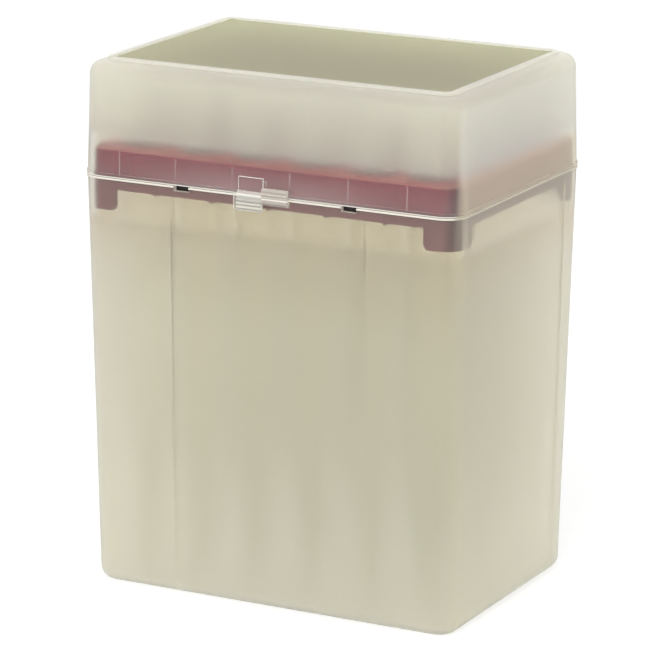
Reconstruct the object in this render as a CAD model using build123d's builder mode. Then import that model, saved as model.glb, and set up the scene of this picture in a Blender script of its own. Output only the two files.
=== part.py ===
from build123d import *
import os

# Hinged storage box for tall pipette tips: a drafted base, a lid on a rear snap hinge,
# a perforated tray and a grid of tips that hang in the tray.
# Millimetres, +Z up. The origin is the middle of the footprint, at the foot.
# X runs along the long side, the front is at -Y and the hinge at +Y.

os.makedirs("parts", exist_ok=True)

# ---------------------------------------------------------------- driving dimensions

# one tip
tip_length = 155.0
tip_wall = 0.8
collar_diameter = 16.0
collar_height = 20.5
collar_step = 0.7
barrel_taper = 0.7
cone_length = 60.0
point_diameter = 3.0
mouth_lead_in = 0.5

# grid of tips, and the room that the box leaves round it
tip_columns, tip_rows = 6, 4
collar_gap = 3.5
end_margin = 7.45
side_margin = 8.25
floor_clearance = 3.0
headroom = 5.15

# walls, and how far each drafted wall leans in between the joint and its far edge
base_wall = 1.6
lid_wall = 1.5
floor_thickness = 1.8
base_lean_x, base_lean_y = 2.2, 3.2
lid_lean_x, lid_lean_y = 0.95, 0.7
foot_corner, mouth_corner, crown_corner = 6.7, 7.2, 6.6
foot_fillet = 4.4
crown_fillet = 4.2

# the two lips that meet at the joint between base and lid
lip_proud = 0.3
base_lip_height = 0.7
lid_lip_height = 1.15
joint_gap = 0.25
lip_edge = 0.12

# stacking frame on top of the lid, round a sunk panel
frame_height = 0.9
frame_rail = 1.8
frame_edge = 0.25
panel_margin_x, panel_margin_y = 6.25, 7.0
panel_corner = 2.6
panel_depth = 0.55

# tray
tray_gap = 0.25
skirt_drop = 3.8
skirt_height = 12.3
skirt_wall = 1.3
skirt_draft = 0.35
deck_thickness = 1.8
deck_edge = 0.3
hole_clearance = 0.3
leg_depth = 6.6
leg_length = 10.0
leg_corner = 1.2
web_thickness = 1.8
web_point = 0.6
web_overhang = 0.9

# ribs inside the base that carry the tray
rib_thickness = 1.0
rib_depth = 1.5
rib_x = 32.4
rib_leg_gap = 0.55

# notches in the front of the base's lip
notch_x = 28.4
notch_length = 5.2
notch_depth = 1.6

# thumb tabs at the front: the lid's on the left, the base's on the right
tab_length = 8.4
tab_split = 0.3
tab_proud = 2.2
tab_clearance = 0.3
lid_tab_drop = 4.5
base_tab_rise = 2.9
base_tab_root = 2.3
tab_corner = 0.9
ridge_pitch = 1.15
ridge_height = 0.35
lid_tab_ridges, base_tab_ridges = 3, 2
pad_height = 5.4
pad_proud = 0.7
pad_step = 0.8
guide_gap = 1.2
guide_width = 0.5
guide_proud = 0.6
guide_length = 3.6

# snap hinge at the rear
hinge_x = 36.0
barrel_radius = 1.5
pin_radius = 0.75
pin_clearance = 0.08
barrel_length = 12.0
ear_thickness = 2.5
ear_gap = 0.3
hinge_relief = 0.3
snap_grip = 0.15
hinge_root = 4.5

# how near to a level an edge has to lie to be picked by it
level_tolerance = 0.01

# ---------------------------------------------------------------- derived dimensions

# the grid sets the mouth's length and width
tip_pitch = collar_diameter + collar_gap
barrel_top_diameter = collar_diameter - 2 * collar_step
barrel_foot_diameter = barrel_top_diameter - 2 * barrel_taper
mouth_length = (tip_columns - 1) * tip_pitch + collar_diameter + 2 * end_margin
mouth_width = (tip_rows - 1) * tip_pitch + collar_diameter + 2 * side_margin
foot_length = mouth_length - 2 * base_lean_x
foot_width = mouth_width - 2 * base_lean_y
crown_length = mouth_length - 2 * lid_lean_x
crown_width = mouth_width - 2 * lid_lean_y

# the tip's length sets the heights: floor, tray and rim, then the lid's ceiling
tip_foot = floor_thickness + floor_clearance
skirt_top = tip_foot + tip_length - collar_height
deck_foot = skirt_top - deck_thickness
skirt_foot = skirt_top - skirt_height
rim_z = skirt_foot + skirt_drop
lid_foot = rim_z + joint_gap
lid_ceiling = tip_foot + tip_length + headroom
total_height = lid_ceiling + lid_wall + panel_depth
crown_z = total_height - frame_height

# the tabs at the front and the hinge at the rear stand out equally far
front_y = -mouth_width / 2
tab_face = front_y - tab_proud
tab_back = front_y - lip_proud - tab_clearance
hinge_y = mouth_width / 2 + tab_proud - barrel_radius
hinge_z = rim_z + joint_gap / 2
barrel_snap = 2 * (pin_radius - snap_grip)


def base_section(z):
    """Outer length, width and corner radius of the base at height z."""
    share = z / rim_z
    length = foot_length + (mouth_length - foot_length) * share
    width = foot_width + (mouth_width - foot_width) * share
    corner = foot_corner + (mouth_corner - foot_corner) * share
    return length, width, corner


def inset(section, by):
    """A section pulled in by the same distance on every side."""
    length, width, corner = section
    return length - 2 * by, width - 2 * by, corner - by


def section_sketch(section):
    """The rounded rectangle of a section, for the active sketch."""
    RectangleRounded(*section)


# outline of the tray's skirt and legs, one gap inside the base's wall
leg_foot = skirt_foot - leg_depth
leg_low = inset(base_section(leg_foot), base_wall + tray_gap)
skirt_low = inset(base_section(skirt_foot), base_wall + tray_gap)
skirt_high = inset(skirt_low, skirt_draft)
leg_x = skirt_low[0] / 2 - leg_length
leg_y = skirt_low[1] / 2 - leg_length
rib_y = leg_y - rib_leg_gap - rib_thickness / 2


def ridge_sketch(foot_z, count):
    """Side view of the thumb ridges on a tab, for the active sketch."""
    for index in range(count):
        ridge_z = foot_z + ridge_pitch * (index + 0.5)
        Polygon(
            (tab_face + ridge_height, ridge_z - ridge_pitch / 2),
            (tab_face, ridge_z),
            (tab_face + ridge_height, ridge_z + ridge_pitch / 2),
        )


# ---------------------------------------------------------------- base

with BuildPart() as base:
    # drafted outer body with a rounded foot
    with BuildSketch(Plane.XY):
        section_sketch(base_section(0))
    with BuildSketch(Plane.XY.offset(rim_z)):
        section_sketch(base_section(rim_z))
    loft(ruled=True)
    fillet(base.faces().sort_by(Axis.Z)[0].edges(), foot_fillet)

    # lip round the mouth
    lip = inset(base_section(rim_z), -lip_proud)
    with BuildSketch(Plane.XY.offset(rim_z - base_lip_height)):
        section_sketch(lip)
    extrude(amount=base_lip_height)
    chamfer(base.faces().sort_by(Axis.Z)[-1].outer_wire().edges(), lip_edge)

    # base's thumb tab: a root on the wall and a plate that stands in front of the lid
    with BuildSketch(Plane.YZ.offset(tab_split / 2)):
        Polygon(
            (tab_face + ridge_height, rim_z - base_tab_root + tab_corner),
            (tab_face + ridge_height, rim_z + base_tab_rise),
            (tab_back, rim_z + base_tab_rise),
            (tab_back, rim_z),
            (front_y + base_wall / 2, rim_z),
            (front_y + base_wall / 2, rim_z - base_tab_root),
            (tab_face + ridge_height + tab_corner, rim_z - base_tab_root),
        )
        ridge_sketch(rim_z + base_tab_rise - base_tab_ridges * ridge_pitch, base_tab_ridges)
    extrude(amount=tab_length)

    # slim guide rib beside the lid's tab
    guide_x = -tab_split / 2 - tab_length - guide_gap - guide_width
    with BuildSketch(Plane.XY.offset(rim_z - base_lip_height - guide_length)):
        with Locations((guide_x, front_y - guide_proud)):
            Rectangle(guide_width, guide_proud + base_wall / 2, align=(Align.MIN, Align.MIN))
    extrude(amount=guide_length)

    # hinge ears, two at each station, on roots that run down the rear wall
    for station in (-hinge_x, hinge_x):
        for side in (-1, 1):
            ear_x = station + side * (barrel_length / 2 + ear_gap + ear_thickness / 2)
            with BuildSketch(Plane.YZ.offset(ear_x - ear_thickness / 2)):
                with Locations((hinge_y, hinge_z)):
                    Circle(barrel_radius)
                Polygon(
                    (hinge_y + barrel_radius, hinge_z),
                    (mouth_width / 2 - base_wall / 2, hinge_z - hinge_root),
                    (mouth_width / 2 - base_wall / 2, rim_z),
                    (hinge_y, hinge_z),
                )
            extrude(amount=ear_thickness)

    # hollow inside
    with BuildSketch(Plane.XY.offset(floor_thickness)):
        section_sketch(inset(base_section(floor_thickness), base_wall))
    with BuildSketch(Plane.XY.offset(rim_z)):
        section_sketch(inset(base_section(rim_z), base_wall))
    loft(ruled=True, mode=Mode.SUBTRACT)
    floor_edges = base.edges().filter_by_position(
        Axis.Z, floor_thickness - level_tolerance, floor_thickness + level_tolerance
    )
    fillet(floor_edges, foot_fillet - base_wall)

    # relief in the rear wall for the lid's barrels, then the pins between the ears
    for station in (-hinge_x, hinge_x):
        with BuildSketch(Plane.YZ.offset(station - barrel_length / 2 - ear_gap)):
            with Locations((hinge_y, hinge_z)):
                Circle(barrel_radius + hinge_relief)
        extrude(amount=barrel_length + 2 * ear_gap, mode=Mode.SUBTRACT)
        with BuildSketch(Plane.YZ.offset(station - barrel_length / 2 - ear_gap)):
            with Locations((hinge_y, hinge_z)):
                Circle(pin_radius)
        extrude(amount=barrel_length + 2 * ear_gap)

    # notches in the front of the lip
    with BuildSketch(Plane.XY.offset(rim_z - notch_depth)):
        with Locations((-notch_x, front_y), (notch_x, front_y)):
            Rectangle(notch_length, 2 * (base_wall + lip_proud))
    extrude(amount=2 * notch_depth, mode=Mode.SUBTRACT)

    # ribs that carry the tray, front, rear and both ends, rooted halfway into the wall;
    # the bend is the middle of the quarter turn at the foot
    rib_low = base_section(foot_fillet)
    rib_high = base_section(skirt_foot)
    bend = (foot_fillet - base_wall / 2) / 2**0.5
    for rib_plane, half_low, half_high in (
        (Plane.YZ.offset(rib_x), rib_low[1] / 2, rib_high[1] / 2),
        (Plane.YZ.offset(-rib_x), rib_low[1] / 2, rib_high[1] / 2),
        (Plane.XZ.offset(rib_y), rib_low[0] / 2, rib_high[0] / 2),
        (Plane.XZ.offset(-rib_y), rib_low[0] / 2, rib_high[0] / 2),
    ):
        for side in (-1, 1):
            with BuildSketch(rib_plane):
                Polygon(
                    (side * (half_low - foot_fillet), floor_thickness / 2),
                    (side * (half_low - foot_fillet + bend), foot_fillet - bend),
                    (side * (half_low - base_wall / 2), foot_fillet),
                    (side * (half_high - base_wall / 2), skirt_foot),
                    (side * (half_high - base_wall - rib_depth), skirt_foot),
                    (side * (half_low - base_wall - rib_depth), foot_fillet),
                    (side * (half_low - foot_fillet), floor_thickness),
                )
            extrude(amount=rib_thickness / 2, both=True)

base.part.label = "base"
export_step(base.part, "parts/base.step")

# ---------------------------------------------------------------- lid

with BuildPart() as lid:
    # drafted outer body with a rounded shoulder
    mouth = (mouth_length, mouth_width, mouth_corner)
    crown = (crown_length, crown_width, crown_corner)
    with BuildSketch(Plane.XY.offset(lid_foot)):
        section_sketch(mouth)
    with BuildSketch(Plane.XY.offset(crown_z)):
        section_sketch(crown)
    loft(ruled=True)
    fillet(lid.faces().sort_by(Axis.Z)[-1].edges(), crown_fillet)

    # raised stacking frame round the sunk panel
    panel = (crown_length - 2 * panel_margin_x, crown_width - 2 * panel_margin_y, panel_corner)
    with BuildSketch(Plane.XY.offset(crown_z)):
        section_sketch(inset(panel, -frame_rail))
    extrude(amount=frame_height)
    fillet(lid.faces().sort_by(Axis.Z)[-1].edges(), frame_edge)
    with BuildSketch(Plane.XY.offset(total_height - panel_depth)):
        section_sketch(panel)
    extrude(amount=panel_depth, mode=Mode.SUBTRACT)

    # lip round the mouth
    with BuildSketch(Plane.XY.offset(lid_foot)):
        section_sketch(inset(mouth, -lip_proud))
    extrude(amount=lid_lip_height)
    chamfer(lid.faces().sort_by(Axis.Z)[0].outer_wire().edges(), lip_edge)

    # lid's thumb tab: a pad on the wall and a plate that hangs in front of the base
    tab_left = -tab_split / 2 - tab_length
    with BuildSketch(Plane.YZ.offset(tab_left)):
        Polygon(
            (tab_face + ridge_height, rim_z - lid_tab_drop),
            (tab_face + ridge_height, lid_foot + lid_lip_height - tab_corner),
            (tab_face + ridge_height + tab_corner, lid_foot + lid_lip_height),
            (front_y + lid_wall / 2, lid_foot + lid_lip_height),
            (front_y + lid_wall / 2, lid_foot),
            (tab_back, lid_foot),
            (tab_back, rim_z - lid_tab_drop),
        )
        ridge_sketch(rim_z - lid_tab_drop + ridge_height, lid_tab_ridges)
    extrude(amount=tab_length)
    with BuildSketch(Plane.XY.offset(lid_foot + lid_lip_height)):
        with Locations((tab_left, front_y - pad_proud + lip_proud)):
            Rectangle(tab_length, pad_proud + lid_wall / 2, align=(Align.MIN, Align.MIN))
    extrude(amount=pad_height - lid_lip_height)
    with BuildSketch(Plane.XY.offset(rim_z + base_tab_rise + tab_clearance)):
        with Locations((-tab_split / 2, front_y - pad_proud + lip_proud)):
            Rectangle(
                pad_step + tab_split / 2, pad_proud + lid_wall / 2, align=(Align.MIN, Align.MIN)
            )
    extrude(amount=lid_foot + pad_height - pad_step - rim_z - base_tab_rise - tab_clearance)

    # hinge barrels on roots that run up the rear wall
    for station in (-hinge_x, hinge_x):
        with BuildSketch(Plane.YZ.offset(station - barrel_length / 2)):
            with Locations((hinge_y, hinge_z)):
                Circle(barrel_radius)
            Polygon(
                (hinge_y + barrel_radius, hinge_z),
                (mouth_width / 2 - lid_wall / 2, hinge_z + hinge_root),
                (mouth_width / 2 - lid_wall / 2, lid_foot),
                (hinge_y, hinge_z),
            )
        extrude(amount=barrel_length)

    # hollow inside
    with BuildSketch(Plane.XY.offset(lid_foot)):
        section_sketch(inset(mouth, lid_wall))
    with BuildSketch(Plane.XY.offset(lid_ceiling)):
        section_sketch(inset(crown, lid_wall))
    loft(ruled=True, mode=Mode.SUBTRACT)
    ceiling_edges = lid.edges().filter_by_position(
        Axis.Z, lid_ceiling - level_tolerance, lid_ceiling + level_tolerance
    )
    fillet(ceiling_edges, crown_fillet - lid_wall)

    # pin bores with their snap slots, and relief in the rear wall for the base's ears
    for station in (-hinge_x, hinge_x):
        with BuildSketch(Plane.YZ.offset(station - barrel_length / 2)):
            with Locations((hinge_y, hinge_z)):
                Circle(pin_radius + pin_clearance)
            with Locations((hinge_y, hinge_z)):
                Rectangle(barrel_snap, 2 * barrel_radius, align=(Align.CENTER, Align.MAX))
        extrude(amount=barrel_length, mode=Mode.SUBTRACT)
        for side in (-1, 1):
            ear_x = station + side * (barrel_length / 2 + ear_gap + ear_thickness / 2)
            with BuildSketch(Plane.YZ.offset(ear_x - ear_thickness / 2 - ear_gap)):
                with Locations((hinge_y, hinge_z)):
                    Circle(barrel_radius + hinge_relief)
            extrude(amount=ear_thickness + 2 * ear_gap, mode=Mode.SUBTRACT)

lid.part.label = "lid"
export_step(lid.part, "parts/lid.step")

# ---------------------------------------------------------------- tip tray

# ring that the four corner legs are cut from
with BuildPart() as leg_ring:
    with BuildSketch(Plane.XY.offset(leg_foot)):
        section_sketch(leg_low)
    with BuildSketch(Plane.XY.offset(skirt_foot)):
        section_sketch(skirt_low)
    loft(ruled=True)
    with BuildSketch(Plane.XY.offset(leg_foot)):
        section_sketch(inset(leg_low, skirt_wall))
    with BuildSketch(Plane.XY.offset(skirt_foot)):
        section_sketch(inset(skirt_low, skirt_wall))
    loft(ruled=True, mode=Mode.SUBTRACT)
    # windows between the legs, seen from the front and from the end
    for window_plane, half_window in ((Plane.XZ, leg_x), (Plane.YZ, leg_y)):
        with BuildSketch(window_plane):
            with Locations((0, leg_foot)):
                Rectangle(2 * half_window, leg_depth, align=(Align.CENTER, Align.MIN))
            for side in (-1, 1):
                Polygon(
                    (side * half_window, leg_foot),
                    (side * (half_window + leg_corner), leg_foot),
                    (side * half_window, leg_foot + leg_corner),
                )
        extrude(amount=foot_length, both=True, mode=Mode.SUBTRACT)

with BuildPart() as tip_tray:
    # skirt and deck as one inverted pan
    with BuildSketch(Plane.XY.offset(skirt_foot)):
        section_sketch(skirt_low)
    with BuildSketch(Plane.XY.offset(skirt_top)):
        section_sketch(skirt_high)
    loft(ruled=True)
    fillet(tip_tray.faces().sort_by(Axis.Z)[-1].edges(), deck_edge)
    with BuildSketch(Plane.XY.offset(skirt_foot)):
        section_sketch(inset(skirt_low, skirt_wall))
    with BuildSketch(Plane.XY.offset(deck_foot)):
        section_sketch(inset(skirt_high, skirt_wall))
    loft(ruled=True, mode=Mode.SUBTRACT)
    add(leg_ring.part)

    # webs between the tips, front to rear and side to side, with pointed lower edges
    web_columns = [tip_pitch * (index - (tip_columns - 2) / 2) for index in range(tip_columns - 1)]
    web_rows = [tip_pitch * (index - (tip_rows - 2) / 2) for index in range(tip_rows - 1)]
    for web_plane, web_places, half_span in (
        (Plane.XZ, web_columns, skirt_high[1] / 2 - skirt_wall / 2),
        (Plane.YZ, web_rows, skirt_high[0] / 2 - skirt_wall / 2),
    ):
        with BuildSketch(web_plane):
            for place in web_places:
                Polygon(
                    (place - web_thickness / 2, deck_foot + deck_thickness / 2),
                    (place - web_thickness / 2, skirt_foot),
                    (place - web_point / 2, skirt_foot - web_overhang),
                    (place + web_point / 2, skirt_foot - web_overhang),
                    (place + web_thickness / 2, skirt_foot),
                    (place + web_thickness / 2, deck_foot + deck_thickness / 2),
                )
        extrude(amount=half_span, both=True)

    # holes for the tips
    with Locations((0, 0, skirt_top)):
        with GridLocations(tip_pitch, tip_pitch, tip_columns, tip_rows):
            Hole(barrel_top_diameter / 2 + hole_clearance)

tip_tray.part.label = "tip_tray"
export_step(tip_tray.part, "parts/tip_tray.step")

# ---------------------------------------------------------------- tips


def tip_outline():
    """Half section of a tip, from its point up, for the active sketch."""
    shoulder = tip_length - collar_height
    bore_top = collar_diameter / 2 - tip_wall
    bore_shoulder = barrel_top_diameter / 2 - tip_wall
    bore_cone = barrel_foot_diameter / 2 - tip_wall
    Polygon(
        (point_diameter / 2 - tip_wall, 0),
        (point_diameter / 2, 0),
        (barrel_foot_diameter / 2, cone_length),
        (barrel_top_diameter / 2, shoulder),
        (collar_diameter / 2, shoulder),
        (collar_diameter / 2, tip_length),
        (bore_top + mouth_lead_in, tip_length),
        (bore_top, tip_length - mouth_lead_in),
        (bore_shoulder, shoulder),
        (bore_cone, cone_length),
    )


for row, row_name in enumerate("abcd"[:tip_rows]):
    for column in range(tip_columns):
        tip_x = tip_pitch * (column - (tip_columns - 1) / 2)
        tip_y = tip_pitch * (row - (tip_rows - 1) / 2)
        tip_name = f"tip_{row_name}{column + 1}"
        with BuildPart() as tip:
            with BuildSketch(Plane((tip_x, tip_y, tip_foot), x_dir=(1, 0, 0), z_dir=(0, -1, 0))):
                tip_outline()
            revolve(axis=Axis((tip_x, tip_y, 0), (0, 0, 1)))
        tip.part.label = tip_name
        export_step(tip.part, f"parts/{tip_name}.step")
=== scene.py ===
import math

import bpy
from mathutils import Matrix, Vector


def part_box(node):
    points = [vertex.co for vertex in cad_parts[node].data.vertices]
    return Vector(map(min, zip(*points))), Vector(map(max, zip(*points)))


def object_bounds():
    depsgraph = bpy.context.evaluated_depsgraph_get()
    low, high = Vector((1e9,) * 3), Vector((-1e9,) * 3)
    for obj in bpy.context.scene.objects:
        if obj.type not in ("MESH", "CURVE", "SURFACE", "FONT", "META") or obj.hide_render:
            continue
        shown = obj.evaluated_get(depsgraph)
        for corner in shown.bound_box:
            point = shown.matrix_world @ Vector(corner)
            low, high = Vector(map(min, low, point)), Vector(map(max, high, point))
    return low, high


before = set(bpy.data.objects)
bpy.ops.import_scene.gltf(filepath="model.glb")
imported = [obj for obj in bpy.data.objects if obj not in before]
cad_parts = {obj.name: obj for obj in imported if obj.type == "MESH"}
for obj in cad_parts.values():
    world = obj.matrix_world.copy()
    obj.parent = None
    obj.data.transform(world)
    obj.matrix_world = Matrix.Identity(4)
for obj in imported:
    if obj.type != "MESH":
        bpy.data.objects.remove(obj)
cad_low, cad_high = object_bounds()
MM = 0.001
WHITE = (1, 1, 1, 1)

# ---------------------------------------------------------------- camera

CAMERA_AZIMUTH = math.radians(27.27)
CAMERA_ELEVATION = math.radians(14.74)
CAMERA_ROLL = math.radians(0.41)
CAMERA_DISTANCE = 1.2404
CAMERA_LENS = 220.04
CAMERA_SENSOR = 36.0
TARGET_OFFSET = Vector((-2.66, 0.0, -3.03)) * MM


def make_camera():
    """A long lens from the front right, a little above the lid."""
    side, up = math.sin(CAMERA_AZIMUTH), math.sin(CAMERA_ELEVATION)
    ahead, level = math.cos(CAMERA_AZIMUTH), math.cos(CAMERA_ELEVATION)
    back = Vector((side * level, -ahead * level, up))
    right = Vector((ahead, side, 0))
    top = back.cross(right)
    rolled_right = right * math.cos(CAMERA_ROLL) + top * math.sin(CAMERA_ROLL)
    rolled_top = top * math.cos(CAMERA_ROLL) - right * math.sin(CAMERA_ROLL)
    data = bpy.data.cameras.new("camera")
    data.lens = CAMERA_LENS
    data.sensor_width = CAMERA_SENSOR
    camera = bpy.data.objects.new("camera", data)
    turn = Matrix((rolled_right, rolled_top, back)).transposed().to_4x4()
    place = (cad_low + cad_high) / 2 + TARGET_OFFSET + back * CAMERA_DISTANCE
    camera.matrix_world = Matrix.Translation(place) @ turn
    bpy.context.scene.collection.objects.link(camera)
    bpy.context.scene.camera = camera


# ---------------------------------------------------------------- studio

# FLOOR_SEEN and FLOOR_THROUGH are the floor's glow to the camera and to light through plastic
WORLD_LIGHT = 0.85
WORLD_WHITE = 1.0
FLOOR_HALF = 3.0
FLOOR_DROP = 0.02 * MM
FLOOR_GREY = (0.5, 0.5, 0.5, 1)
FLOOR_SEEN = 0.58
FLOOR_THROUGH = 0.4
KEY_PLACE = (0.25, -1.0, 1.0)
KEY_AIM = (0, 0, 0.08)
KEY_SIZE = 0.7
KEY_POWER = 8


def straight_ray(nodes, links, seen=1.0, through=1.0):
    """One level for a ray from the camera, one for a ray in a reflection or through plastic."""
    path = nodes.new("ShaderNodeLightPath")
    rays = (("Is Camera Ray", seen), ("Is Glossy Ray", through), ("Is Transmission Ray", through))
    total = None
    for ray, level in rays:
        share = nodes.new("ShaderNodeMath")
        share.operation = "MULTIPLY"
        share.inputs[1].default_value = level
        links.new(path.outputs[ray], share.inputs[0])
        if total is None:
            total = share.outputs[0]
        else:
            most = nodes.new("ShaderNodeMath")
            most.operation = "MAXIMUM"
            links.new(total, most.inputs[0])
            links.new(share.outputs[0], most.inputs[1])
            total = most.outputs[0]
    return total


def make_world():
    """White to the eye, and a plain soft dome of light for everything else."""
    world = bpy.data.worlds.new("studio")
    world.use_nodes = True
    nodes, links = world.node_tree.nodes, world.node_tree.links
    nodes.clear()
    mix = nodes.new("ShaderNodeMixShader")
    links.new(straight_ray(nodes, links), mix.inputs[0])
    for socket, strength in ((1, WORLD_LIGHT), (2, WORLD_WHITE)):
        background = nodes.new("ShaderNodeBackground")
        background.inputs["Color"].default_value = WHITE
        background.inputs["Strength"].default_value = strength
        links.new(background.outputs[0], mix.inputs[socket])
    output = nodes.new("ShaderNodeOutputWorld")
    links.new(mix.outputs[0], output.inputs["Surface"])
    bpy.context.scene.world = world


def make_floor():
    """A pale level floor that shows white and keeps a faint shadow."""
    half = FLOOR_HALF
    mesh = bpy.data.meshes.new("floor")
    corners = [(-half, -half, 0), (half, -half, 0), (half, half, 0), (-half, half, 0)]
    mesh.from_pydata(corners, [], [(0, 1, 2, 3)])
    floor = bpy.data.objects.new("floor", mesh)
    floor.location.z = cad_low.z - FLOOR_DROP
    bpy.context.scene.collection.objects.link(floor)
    material = bpy.data.materials.new("floor_white")
    material.use_nodes = True
    nodes, links = material.node_tree.nodes, material.node_tree.links
    nodes.clear()
    output = nodes.new("ShaderNodeOutputMaterial")
    diffuse = nodes.new("ShaderNodeBsdfDiffuse")
    diffuse.inputs["Color"].default_value = FLOOR_GREY
    glow = nodes.new("ShaderNodeEmission")
    glow.inputs["Color"].default_value = WHITE
    level = straight_ray(nodes, links, FLOOR_SEEN, FLOOR_THROUGH)
    links.new(level, glow.inputs["Strength"])
    add = nodes.new("ShaderNodeAddShader")
    links.new(diffuse.outputs[0], add.inputs[0])
    links.new(glow.outputs[0], add.inputs[1])
    links.new(add.outputs[0], output.inputs["Surface"])
    mesh.materials.append(material)


def add_lamp(name, place, aim, size, power):
    """A square soft box at a place, turned towards a point."""
    data = bpy.data.lights.new(name, "AREA")
    data.shape = "SQUARE"
    data.size = size
    data.energy = power
    lamp = bpy.data.objects.new(name, data)
    lamp.location = place
    lamp.rotation_euler = (Vector(aim) - Vector(place)).to_track_quat("-Z", "Y").to_euler()
    bpy.context.scene.collection.objects.link(lamp)


# ---------------------------------------------------------------- node tools

# sockets of Blender's Mix node, which has one set for numbers and one for colours
MIX_SHARE, MIX_NUMBERS, MIX_COLOURS = 0, (2, 3), (6, 7)
MIX_NUMBER_OUT, MIX_COLOUR_OUT = 0, 2
GRAIN_STRENGTH = 0.3


class Shading:
    """One Principled material with short ways to add the nodes that drive it."""

    def __init__(self, name, colour, roughness, ior):
        self.material = bpy.data.materials.new(name)
        self.material.use_nodes = True
        tree = self.material.node_tree
        self.nodes, self.links = tree.nodes, tree.links
        self.shader = self.nodes["Principled BSDF"]
        self.set("Base Color", (*colour, 1))
        self.set("Roughness", roughness)
        self.set("IOR", ior)
        self.place = self.nodes.new("ShaderNodeTexCoord").outputs["Object"]

    def set(self, socket, value):
        self.shader.inputs[socket].default_value = value

    def drive(self, socket, output):
        self.links.new(output, self.shader.inputs[socket])

    def node(self, kind, settings, inputs):
        """A node with its settings, and its inputs as values or as outputs of other nodes."""
        made = self.nodes.new(kind)
        for key, value in settings.items():
            setattr(made, key, value)
        for key, value in inputs.items():
            if isinstance(value, bpy.types.NodeSocket):
                self.links.new(value, made.inputs[key])
            else:
                made.inputs[key].default_value = value
        return made

    def axes(self):
        """The object's own x, y and z."""
        parts = self.node("ShaderNodeSeparateXYZ", {}, {0: self.place})
        return parts.outputs[0], parts.outputs[1], parts.outputs[2]

    def noise(self, size, detail=2.0):
        """Smooth noise with patches of about this size, in metres."""
        inputs = {"Vector": self.place, "Scale": 1 / size, "Detail": detail}
        return self.node("ShaderNodeTexNoise", {}, inputs).outputs["Fac"]

    def specks(self, spacing, size):
        """1 on sparse specks of this size, 0 between them."""
        inputs = {"Vector": self.place, "Scale": 1 / spacing}
        distance = self.node("ShaderNodeTexVoronoi", {}, inputs).outputs["Distance"]
        return self.below(distance, size / spacing)

    def maths(self, operation, first, second=0.0, third=0.0):
        inputs = {0: first, 1: second, 2: third}
        return self.node("ShaderNodeMath", {"operation": operation}, inputs).outputs[0]

    def unsigned(self, value):
        return self.maths("ABSOLUTE", value)

    def above(self, value, limit):
        return self.maths("GREATER_THAN", value, limit)

    def below(self, value, limit):
        return self.maths("LESS_THAN", value, limit)

    def band(self, value, middle, half):
        """1 within this distance of the middle, 0 elsewhere."""
        return self.maths("COMPARE", value, middle, half)

    def both(self, first, second):
        return self.maths("MULTIPLY", first, second)

    def either(self, first, second):
        return self.maths("MAXIMUM", first, second)

    def inverse(self, value):
        return self.maths("SUBTRACT", 1.0, value)

    def ramp(self, value, span, low, high, smooth=True):
        """The value's stretch over the span, laid out from low to high."""
        kind = {"interpolation_type": "SMOOTHSTEP"} if smooth else {}
        start, end = span
        inputs = {"Value": value, "From Min": start, "From Max": end, "To Min": low, "To Max": high}
        return self.node("ShaderNodeMapRange", kind, inputs).outputs["Result"]

    def rise(self, value, span, smooth=True):
        return self.ramp(value, span, 0.0, 1.0, smooth)

    def fall(self, value, span):
        return self.ramp(value, span, 1.0, 0.0)

    def blend(self, share, first, second):
        """Number that goes from the first to the second as the share rises."""
        low, high = MIX_NUMBERS
        inputs = {MIX_SHARE: share, low: first, high: second}
        return self.node("ShaderNodeMix", {}, inputs).outputs[MIX_NUMBER_OUT]

    def tinted(self, share, first, second):
        """Colour that goes from the first to the second as the share rises."""
        low, high = MIX_COLOURS
        inputs = {MIX_SHARE: share, low: first, high: second}
        return self.node("ShaderNodeMix", {"data_type": "RGBA"}, inputs).outputs[MIX_COLOUR_OUT]

    def leaving(self):
        """1 where a ray meets the skin from within the plastic, 0 where it comes from the air."""
        return self.node("ShaderNodeNewGeometry", {}, {}).outputs["Backfacing"]

    def grain(self, size, depth):
        """Fine moulded texture, as bump."""
        inputs = {"Height": self.noise(size), "Strength": GRAIN_STRENGTH, "Distance": depth}
        self.drive("Normal", self.node("ShaderNodeBump", {}, inputs).outputs["Normal"])


def shade(colour, by):
    """The colour made darker or lighter, with alpha."""
    return (*(min(1.0, part * by) for part in colour), 1)


# ---------------------------------------------------------------- colours and finishes

BASE_COLOUR = (0.968, 0.954, 0.882)
# painted shade: the base's wall is warmed and darkened under the tray, as the tray's shade and warm
# bounce light
BASE_PAINTED_WARMTH = (0.94, 0.893, 0.803)
# painted light: the base's side walls get a yellower tint low down and a warmer one near the tray
BASE_SIDE = (0.962, 0.94, 0.835)
BASE_SIDE_PAINTED_WARMTH = (0.964, 0.9, 0.745)
LID_COLOUR = (0.964, 0.958, 0.885)
# painted light: the lid's side walls are warmed near the tray, as the tray's warm glow
LID_SIDE_PAINTED_WARMTH = (0.975, 0.88, 0.68)
# painted shade: an olive tint on the panel, for light coming in, darkens it like a dull reflection
# and shaded inside
PANEL_PAINTED_SHADE = (0.42, 0.425, 0.2)
TIP_COLOUR = (0.999, 0.992, 0.96)
# painted shade: the tips' points are tinted darker grey-green
CONE_PAINTED_SHADE = (0.925, 0.924, 0.878)
TRAY_COLOUR = (0.28, 0.018, 0.055)
# painted light: the deck's top is a lighter maroon, as if lit from above
DECK_PAINTED_LIGHT = (0.4, 0.095, 0.12)
# painted light: a paler, greyer maroon for the tray below the rim
TRAY_SHADE = (0.28, 0.125, 0.15)
# painted shadow: near-black for the tray's corners, a band under the joint and the two slots
TRAY_PAINTED_SHADOW = (0.012, 0.005, 0.006)

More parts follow.
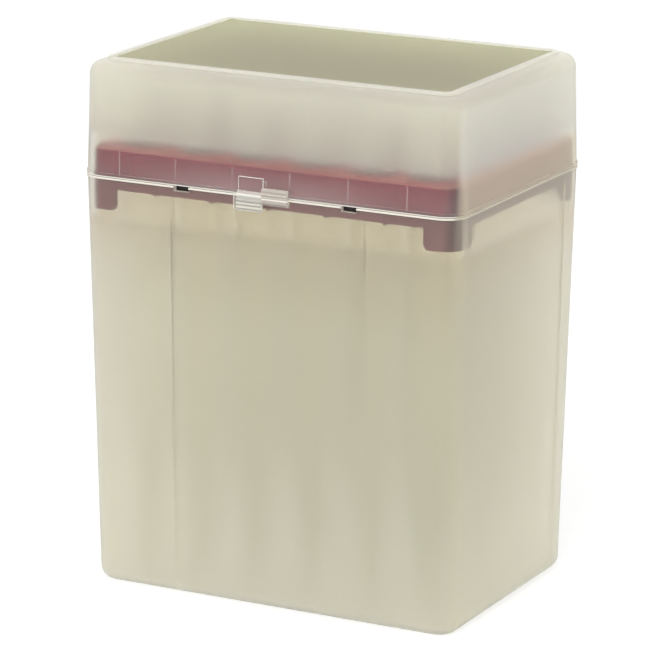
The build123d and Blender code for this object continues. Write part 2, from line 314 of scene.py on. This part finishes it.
# the share of the light that passes a skin on its way in: 1 is clear, and less is milkier
PASSES_ALL = 1.0
WALL_CLEAR = 0.97
BASE_CLEAR = 0.96
BASE_SIDE_CLEAR = 0.86
LID_MIDDLE_CLEAR = 0.8
LID_CORNER_CLEAR = 0.91
LID_SIDE_CLEAR = 0.68
UPPER_CLEAR = 0.8
UPPER_SIDE_CLEAR = 0.57
CROWN_CLEAR = 0.8
# painted highlight: milkier rail tops give a pale line round the panel
RAIL_CLEAR = 0.7
TAB_CLEAR = 0.55
RIB_CLEAR = 0.45
MARK_CLEAR = 0.7
# the next two make near-white lines on the lip edges and the pad's outline: painted highlights
EDGE_CLEAR = 0.1
SIDE_EDGE_CLEAR = 0.5
CONE_CLEAR = 0.95
BARREL_CLEAR = 0.98
COLLAR_CLEAR = 0.6

# the roughness that light meets on its way in, and the blur that it meets on its way out
WALL_ROUGHNESS = 0.36
PANEL_ROUGHNESS = 0.45
TAB_ROUGHNESS = 0.15
TIP_ROUGHNESS = 0.3
TRAY_ROUGHNESS = 0.35
NEAR_BLUR = 0.18
LID_BLUR = 1.0
BASE_BLUR = 0.7

WALL_IOR = 1.45
TIP_IOR = 1.12
TRAY_IOR = 1.45

# flow is the size and detail of uneven colour, and grain is the size and depth of the bump
WALL_FLOW = (22 * MM, 3.0)
WALL_SHADES = (0.985, 1.01)
WALL_GRAIN = (0.5 * MM, 0.03 * MM)
TRAY_FLOW = (9 * MM, 3.0)
TRAY_SHADES = (0.88, 1.12)
TRAY_GRAIN = (0.4 * MM, 0.03 * MM)

# how far and how evenly light spreads in the tips' collars
COLLAR_SCATTER = 20 * MM
EVEN_SCATTER = (1, 1, 1)

# ---------------------------------------------------------------- places on the object

# A SPAN is a start and an end, and a BAND is a middle and a half width. Sides are given by their
# distance from the middle, and all else by the object's own coordinates, where not said otherwise.

# the joint between base and lid, and a plane between the lips' front and the thumb tabs
RIM = 130.8 * MM
LIP_FACE_Y = -45.95 * MM

# lid: the panel and the rails lie below its top, and the walls clear above the rim
PANEL_X_BAND = (0.0, 56.9 * MM)
PANEL_Y_BAND = (0.0, 37.7 * MM)
PANEL_DROP = 0.55 * MM
PANEL_HALF = 0.2 * MM
CROWN_OFFSETS = (-6.5 * MM, -3 * MM)
RAIL_DEPTH = 0.12 * MM
LID_SIDE_SPAN = (62 * MM, 63.5 * MM)
# the painted warmth on the lid's sides fades out over this span
LID_WARM_SPAN = (138 * MM, 146 * MM)
LID_HAZE_SPAN = (10 * MM, 50 * MM)
LID_CLEARING = 9 * MM
UPPER_SPAN = (140.2 * MM, 145 * MM)
LID_BLUR_SPAN = (142 * MM, 146 * MM)
# the lid lip's painted highlight lies in this band
LID_LIP_BAND = (RIM + 0.4 * MM, 0.2 * MM)
LID_TAB_TOP = 132.4 * MM

# the plain pad over the lid's thumb tab, and painted highlight lines at its two ends and its top
PAD_FACE_Y = -45.5 * MM
PAD_X_BAND = (-4.35 * MM, 4.35 * MM)
PAD_Z_BAND = (134.4 * MM, 2.2 * MM)
PAD_LEFT_BAND = (-8.55 * MM, 0.12 * MM)
PAD_RIGHT_BAND = (-0.15 * MM, 0.12 * MM)
PAD_TOP_BAND = (136.45 * MM, 0.14 * MM)

# faint pale marks on the lid's front: patches have a size and detail, specks a spacing and size
MARK_FACE_Y = -44 * MM
LINE_SHIFT = 1.2 * MM
LINE_BAND = (0.0, 0.14 * MM)
LINE_Z_BAND = (135.4 * MM, 3.6 * MM)
LINE_PATCHES = (14 * MM, 1.0)
LINE_PATCH_SPAN = (0.4, 0.6)
SPECKS = (1.5 * MM, 0.16 * MM)
SPECK_Z_BAND = (135.2 * MM, 3.2 * MM)

# base: the lean is how far its sides come in from the rim to the foot
BASE_LEAN = 2.2 * MM
# the painted warm shade under the tray rises over this span
BASE_WARM_SPAN = (85 * MM, 128 * MM)
# the painted tints of the side walls lie over these spans
BASE_SIDE_SPAN = (61.5 * MM, 63 * MM)
BASE_SIDE_WARM_SPAN = (98 * MM, 126 * MM)
BASE_BLUR_SPAN = (116 * MM, 121 * MM)
# the base lip's painted highlight lies in this band
BASE_LIP_BAND = (RIM - 0.25 * MM, 0.25 * MM)
RIB_FACE_Y = -45.6 * MM
RIB_X_BAND = (-10.0 * MM, 0.27 * MM)

# tips: the first two are above their points, and the collar's are above the tray's deck
BARREL_HEIGHTS = (20 * MM, 85 * MM)
CONE_HEIGHTS = (10 * MM, 70 * MM)
COLLAR_HEIGHTS = (-1 * MM, 2 * MM)

# tray: the edge is below its deck, and the slots are the two notches of the joint
DECK_EDGE = 0.3 * MM
# painted shadow darkens the corners, a band under the joint and the two slots
CORNER_X_SPAN = (57 * MM, 61.5 * MM)
CORNER_Y_SPAN = (30 * MM, 40 * MM)
CORNER_SHADE_SHARE = 0.6
SLOT_X_BAND = (28.4 * MM, 2.7 * MM)
SLOT_Z_BAND = (RIM - 0.7 * MM, 1.0 * MM)
JOINT_Z_BAND = (RIM - 0.4 * MM, 0.6 * MM)


def spaced(start, offsets):
    """A span that starts and ends at these offsets from a place."""
    return tuple(start + offset for offset in offsets)


# ---------------------------------------------------------------- materials


def frosted(name, colour):
    """Natural polypropylene, a little uneven, with satin grain."""
    made = Shading(name, colour, WALL_ROUGHNESS, WALL_IOR)
    darker, lighter = (shade(colour, by) for by in WALL_SHADES)
    made.colour = made.tinted(made.noise(*WALL_FLOW), darker, lighter)
    made.grain(*WALL_GRAIN)
    return made


def skin(made, clear, rough, blur):
    """A wall's two faces: light that comes in meets one finish, light that goes out the other."""
    out = made.leaving()
    made.drive("Base Color", made.colour)
    made.drive("Transmission Weight", made.blend(out, clear, PASSES_ALL))
    made.drive("Roughness", made.blend(out, rough, blur))
    return made.material


def marks(made, x, y, z):
    """Faint upright lines in line with the tips, and specks, low on the front of the lid."""
    first = (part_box("tip_a1")[0].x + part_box("tip_a1")[1].x) / 2
    pitch = (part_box("tip_a2")[0].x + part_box("tip_a2")[1].x) / 2 - first
    offset = made.maths("ADD", x, LINE_SHIFT - first)
    wrapped = made.maths("WRAP", offset, pitch / 2, -pitch / 2)
    line = made.both(made.band(wrapped, *LINE_BAND), made.band(z, *LINE_Z_BAND))
    patches = made.rise(made.noise(*LINE_PATCHES), LINE_PATCH_SPAN, smooth=False)
    specks = made.both(made.specks(*SPECKS), made.band(z, *SPECK_Z_BAND))
    return made.both(made.either(made.both(line, patches), specks), made.below(y, MARK_FACE_Y))


def lid_material():
    """Frosted walls, milkier higher up, a satin panel tinted olive as painted shade, painted lip
    highlights.
    """
    made = frosted("lid_plastic", LID_COLOUR)
    x, y, z = made.axes()
    across = made.unsigned(x)
    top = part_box("lid")[1].z
    inside = made.both(made.band(x, *PANEL_X_BAND), made.band(y, *PANEL_Y_BAND))
    panel = made.both(made.band(z, top - PANEL_DROP, PANEL_HALF), inside)
    entering = made.inverse(made.leaving())
    # painted shade: tint the panel olive where light comes in
    made.colour = made.tinted(made.both(panel, entering), made.colour, (*PANEL_PAINTED_SHADE, 1))
    # painted light: warm the lid's sides towards the tray
    side = made.rise(across, LID_SIDE_SPAN)
    painted_warmth = made.both(side, made.fall(z, LID_WARM_SPAN))
    made.colour = made.tinted(painted_warmth, made.colour, (*LID_SIDE_PAINTED_WARMTH, 1))

    pad = made.both(made.band(x, *PAD_X_BAND), made.band(z, *PAD_Z_BAND))
    pad = made.both(made.below(y, PAD_FACE_Y), pad)
    ends = made.either(made.band(x, *PAD_LEFT_BAND), made.band(x, *PAD_RIGHT_BAND))
    outline = made.both(pad, made.either(ends, made.band(z, *PAD_TOP_BAND)))
    tab = made.both(made.below(y, LIP_FACE_Y), made.below(z, LID_TAB_TOP))

    hazy = made.ramp(across, LID_HAZE_SPAN, LID_MIDDLE_CLEAR, LID_CORNER_CLEAR)
    clear = made.ramp(z, (RIM, RIM + LID_CLEARING), hazy, WALL_CLEAR, smooth=False)
    clear = made.blend(side, clear, LID_SIDE_CLEAR)
    upper = made.blend(side, UPPER_CLEAR, UPPER_SIDE_CLEAR)
    clear = made.blend(made.rise(z, UPPER_SPAN), clear, upper)
    crown = made.rise(z, spaced(top, CROWN_OFFSETS))
    clear = made.blend(crown, clear, CROWN_CLEAR)
    # painted highlight: milkier rail tops give a pale line round the panel
    clear = made.blend(made.above(z, top - RAIL_DEPTH), clear, RAIL_CLEAR)
    clear = made.blend(panel, clear, PASSES_ALL)
    clear = made.blend(tab, clear, TAB_CLEAR)
    # painted highlight: near-white lines round the pad
    clear = made.blend(outline, clear, EDGE_CLEAR)
    # painted highlight: a near-white line on the lip's edge, paler on the sides
    edge = made.blend(side, EDGE_CLEAR, SIDE_EDGE_CLEAR)
    clear = made.blend(made.band(z, *LID_LIP_BAND), clear, edge)
    clear = made.blend(marks(made, x, y, z), clear, MARK_CLEAR)
    rough = made.blend(panel, WALL_ROUGHNESS, PANEL_ROUGHNESS)
    rough = made.blend(tab, rough, TAB_ROUGHNESS)
    blur = made.ramp(z, LID_BLUR_SPAN, NEAR_BLUR, LID_BLUR)
    return skin(made, clear, rough, blur)


def base_material():
    """Frosted walls, sharper by the tray, painted warm shade there, painted lip highlight, pale tab
    and guide rib.
    """
    made = frosted("base_plastic", BASE_COLOUR)
    x, y, z = made.axes()
    # painted shade: warmer and darker towards the tray
    painted_warmth = made.rise(z, BASE_WARM_SPAN)
    made.colour = made.tinted(painted_warmth, made.colour, (*BASE_PAINTED_WARMTH, 1))
    # painted light: the side walls take their own tints, yellower low down and warmer by the tray
    lean = made.ramp(z, (0.0, RIM), BASE_LEAN, 0.0, smooth=False)
    upright = made.maths("ADD", made.unsigned(x), lean)
    side = made.rise(upright, BASE_SIDE_SPAN)
    low_side = made.both(side, made.inverse(painted_warmth))
    made.colour = made.tinted(low_side, made.colour, (*BASE_SIDE, 1))
    high_side = made.both(side, made.rise(z, BASE_SIDE_WARM_SPAN))
    made.colour = made.tinted(high_side, made.colour, (*BASE_SIDE_PAINTED_WARMTH, 1))

    tab = made.below(y, LIP_FACE_Y)
    rib = made.both(made.below(y, RIB_FACE_Y), made.band(x, *RIB_X_BAND))
    clear = made.blend(high_side, BASE_CLEAR, BASE_SIDE_CLEAR)
    clear = made.blend(tab, clear, TAB_CLEAR)
    clear = made.blend(rib, clear, RIB_CLEAR)
    # painted highlight: a near-white line on the lip's edge, paler on the sides
    edge = made.blend(high_side, EDGE_CLEAR, SIDE_EDGE_CLEAR)
    clear = made.blend(made.band(z, *BASE_LIP_BAND), clear, edge)
    rough = made.blend(tab, WALL_ROUGHNESS, TAB_ROUGHNESS)
    blur = made.ramp(z, BASE_BLUR_SPAN, BASE_BLUR, NEAR_BLUR)
    return skin(made, clear, rough, blur)


def tip_material():
    """Milky collar, clear barrel, and a cone faintly tinted darker as painted shade."""
    made = Shading("tip_plastic", TIP_COLOUR, TIP_ROUGHNESS, TIP_IOR)
    z = made.axes()[2]
    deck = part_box("tip_tray")[1].z
    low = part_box("tip_a1")[0].z
    # painted shade: the points are tinted darker
    cone_shade = made.fall(z, spaced(low, CONE_HEIGHTS))
    made.drive("Base Color", made.tinted(cone_shade, (*TIP_COLOUR, 1), (*CONE_PAINTED_SHADE, 1)))
    shaft = made.ramp(z, spaced(low, BARREL_HEIGHTS), CONE_CLEAR, BARREL_CLEAR)
    collar = made.rise(z, spaced(deck, COLLAR_HEIGHTS))
    clear = made.blend(collar, shaft, COLLAR_CLEAR)
    made.drive("Transmission Weight", made.blend(made.leaving(), clear, PASSES_ALL))
    made.set("Subsurface Radius", EVEN_SCATTER)
    made.set("Subsurface Scale", COLLAR_SCATTER)
    made.drive("Subsurface Weight", collar)
    return made.material


def tray_material():
    """Maroon moulding, painted lighter on deck and greyer below the rim, painted shadow at its
    corners and joint.
    """
    made = Shading("tray_plastic", TRAY_COLOUR, TRAY_ROUGHNESS, TRAY_IOR)
    x, y, z = made.axes()
    across = made.unsigned(x)
    darker, lighter = (shade(TRAY_COLOUR, by) for by in TRAY_SHADES)
    colour = made.tinted(made.noise(*TRAY_FLOW), darker, lighter)
    # painted light: the deck's top is lighter
    deck = made.above(z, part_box("tip_tray")[1].z - DECK_EDGE)
    colour = made.tinted(deck, colour, (*DECK_PAINTED_LIGHT, 1))
    # painted light: paler and greyer below the rim
    colour = made.tinted(made.below(z, RIM), colour, (*TRAY_SHADE, 1))
    # painted shade: the corners darken
    corner = made.ramp(across, CORNER_X_SPAN, 0.0, CORNER_SHADE_SHARE)
    corner = made.both(corner, made.rise(made.unsigned(y), CORNER_Y_SPAN, smooth=False))
    colour = made.tinted(corner, colour, (*TRAY_PAINTED_SHADOW, 1))
    # painted shadow: a dark band under the joint and in the two slots
    slot_shadow = made.both(made.band(across, *SLOT_X_BAND), made.band(z, *SLOT_Z_BAND))
    joint_shadow = made.either(made.band(z, *JOINT_Z_BAND), slot_shadow)
    made.drive("Base Color", made.tinted(joint_shadow, colour, (*TRAY_PAINTED_SHADOW, 1)))
    made.grain(*TRAY_GRAIN)
    return made.material


def dress(node, material):
    """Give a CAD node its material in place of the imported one."""
    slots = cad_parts[node].data.materials
    for index in range(len(slots)):
        slots[index] = material


# ---------------------------------------------------------------- scene

MOST_BOUNCES = 32
DIFFUSE_BOUNCES = 12

make_camera()
make_world()
make_floor()
add_lamp("key", KEY_PLACE, KEY_AIM, KEY_SIZE, KEY_POWER)

dress("base", base_material())
dress("lid", lid_material())
dress("tip_tray", tray_material())
tip_plastic = tip_material()
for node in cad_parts:
    if node not in ("base", "lid", "tip_tray"):
        dress(node, tip_plastic)

light_paths = bpy.context.scene.cycles
light_paths.max_bounces = MOST_BOUNCES
light_paths.transmission_bounces = MOST_BOUNCES
light_paths.glossy_bounces = MOST_BOUNCES
light_paths.diffuse_bounces = DIFFUSE_BOUNCES

bpy.context.scene.view_settings.view_transform = "Standard"
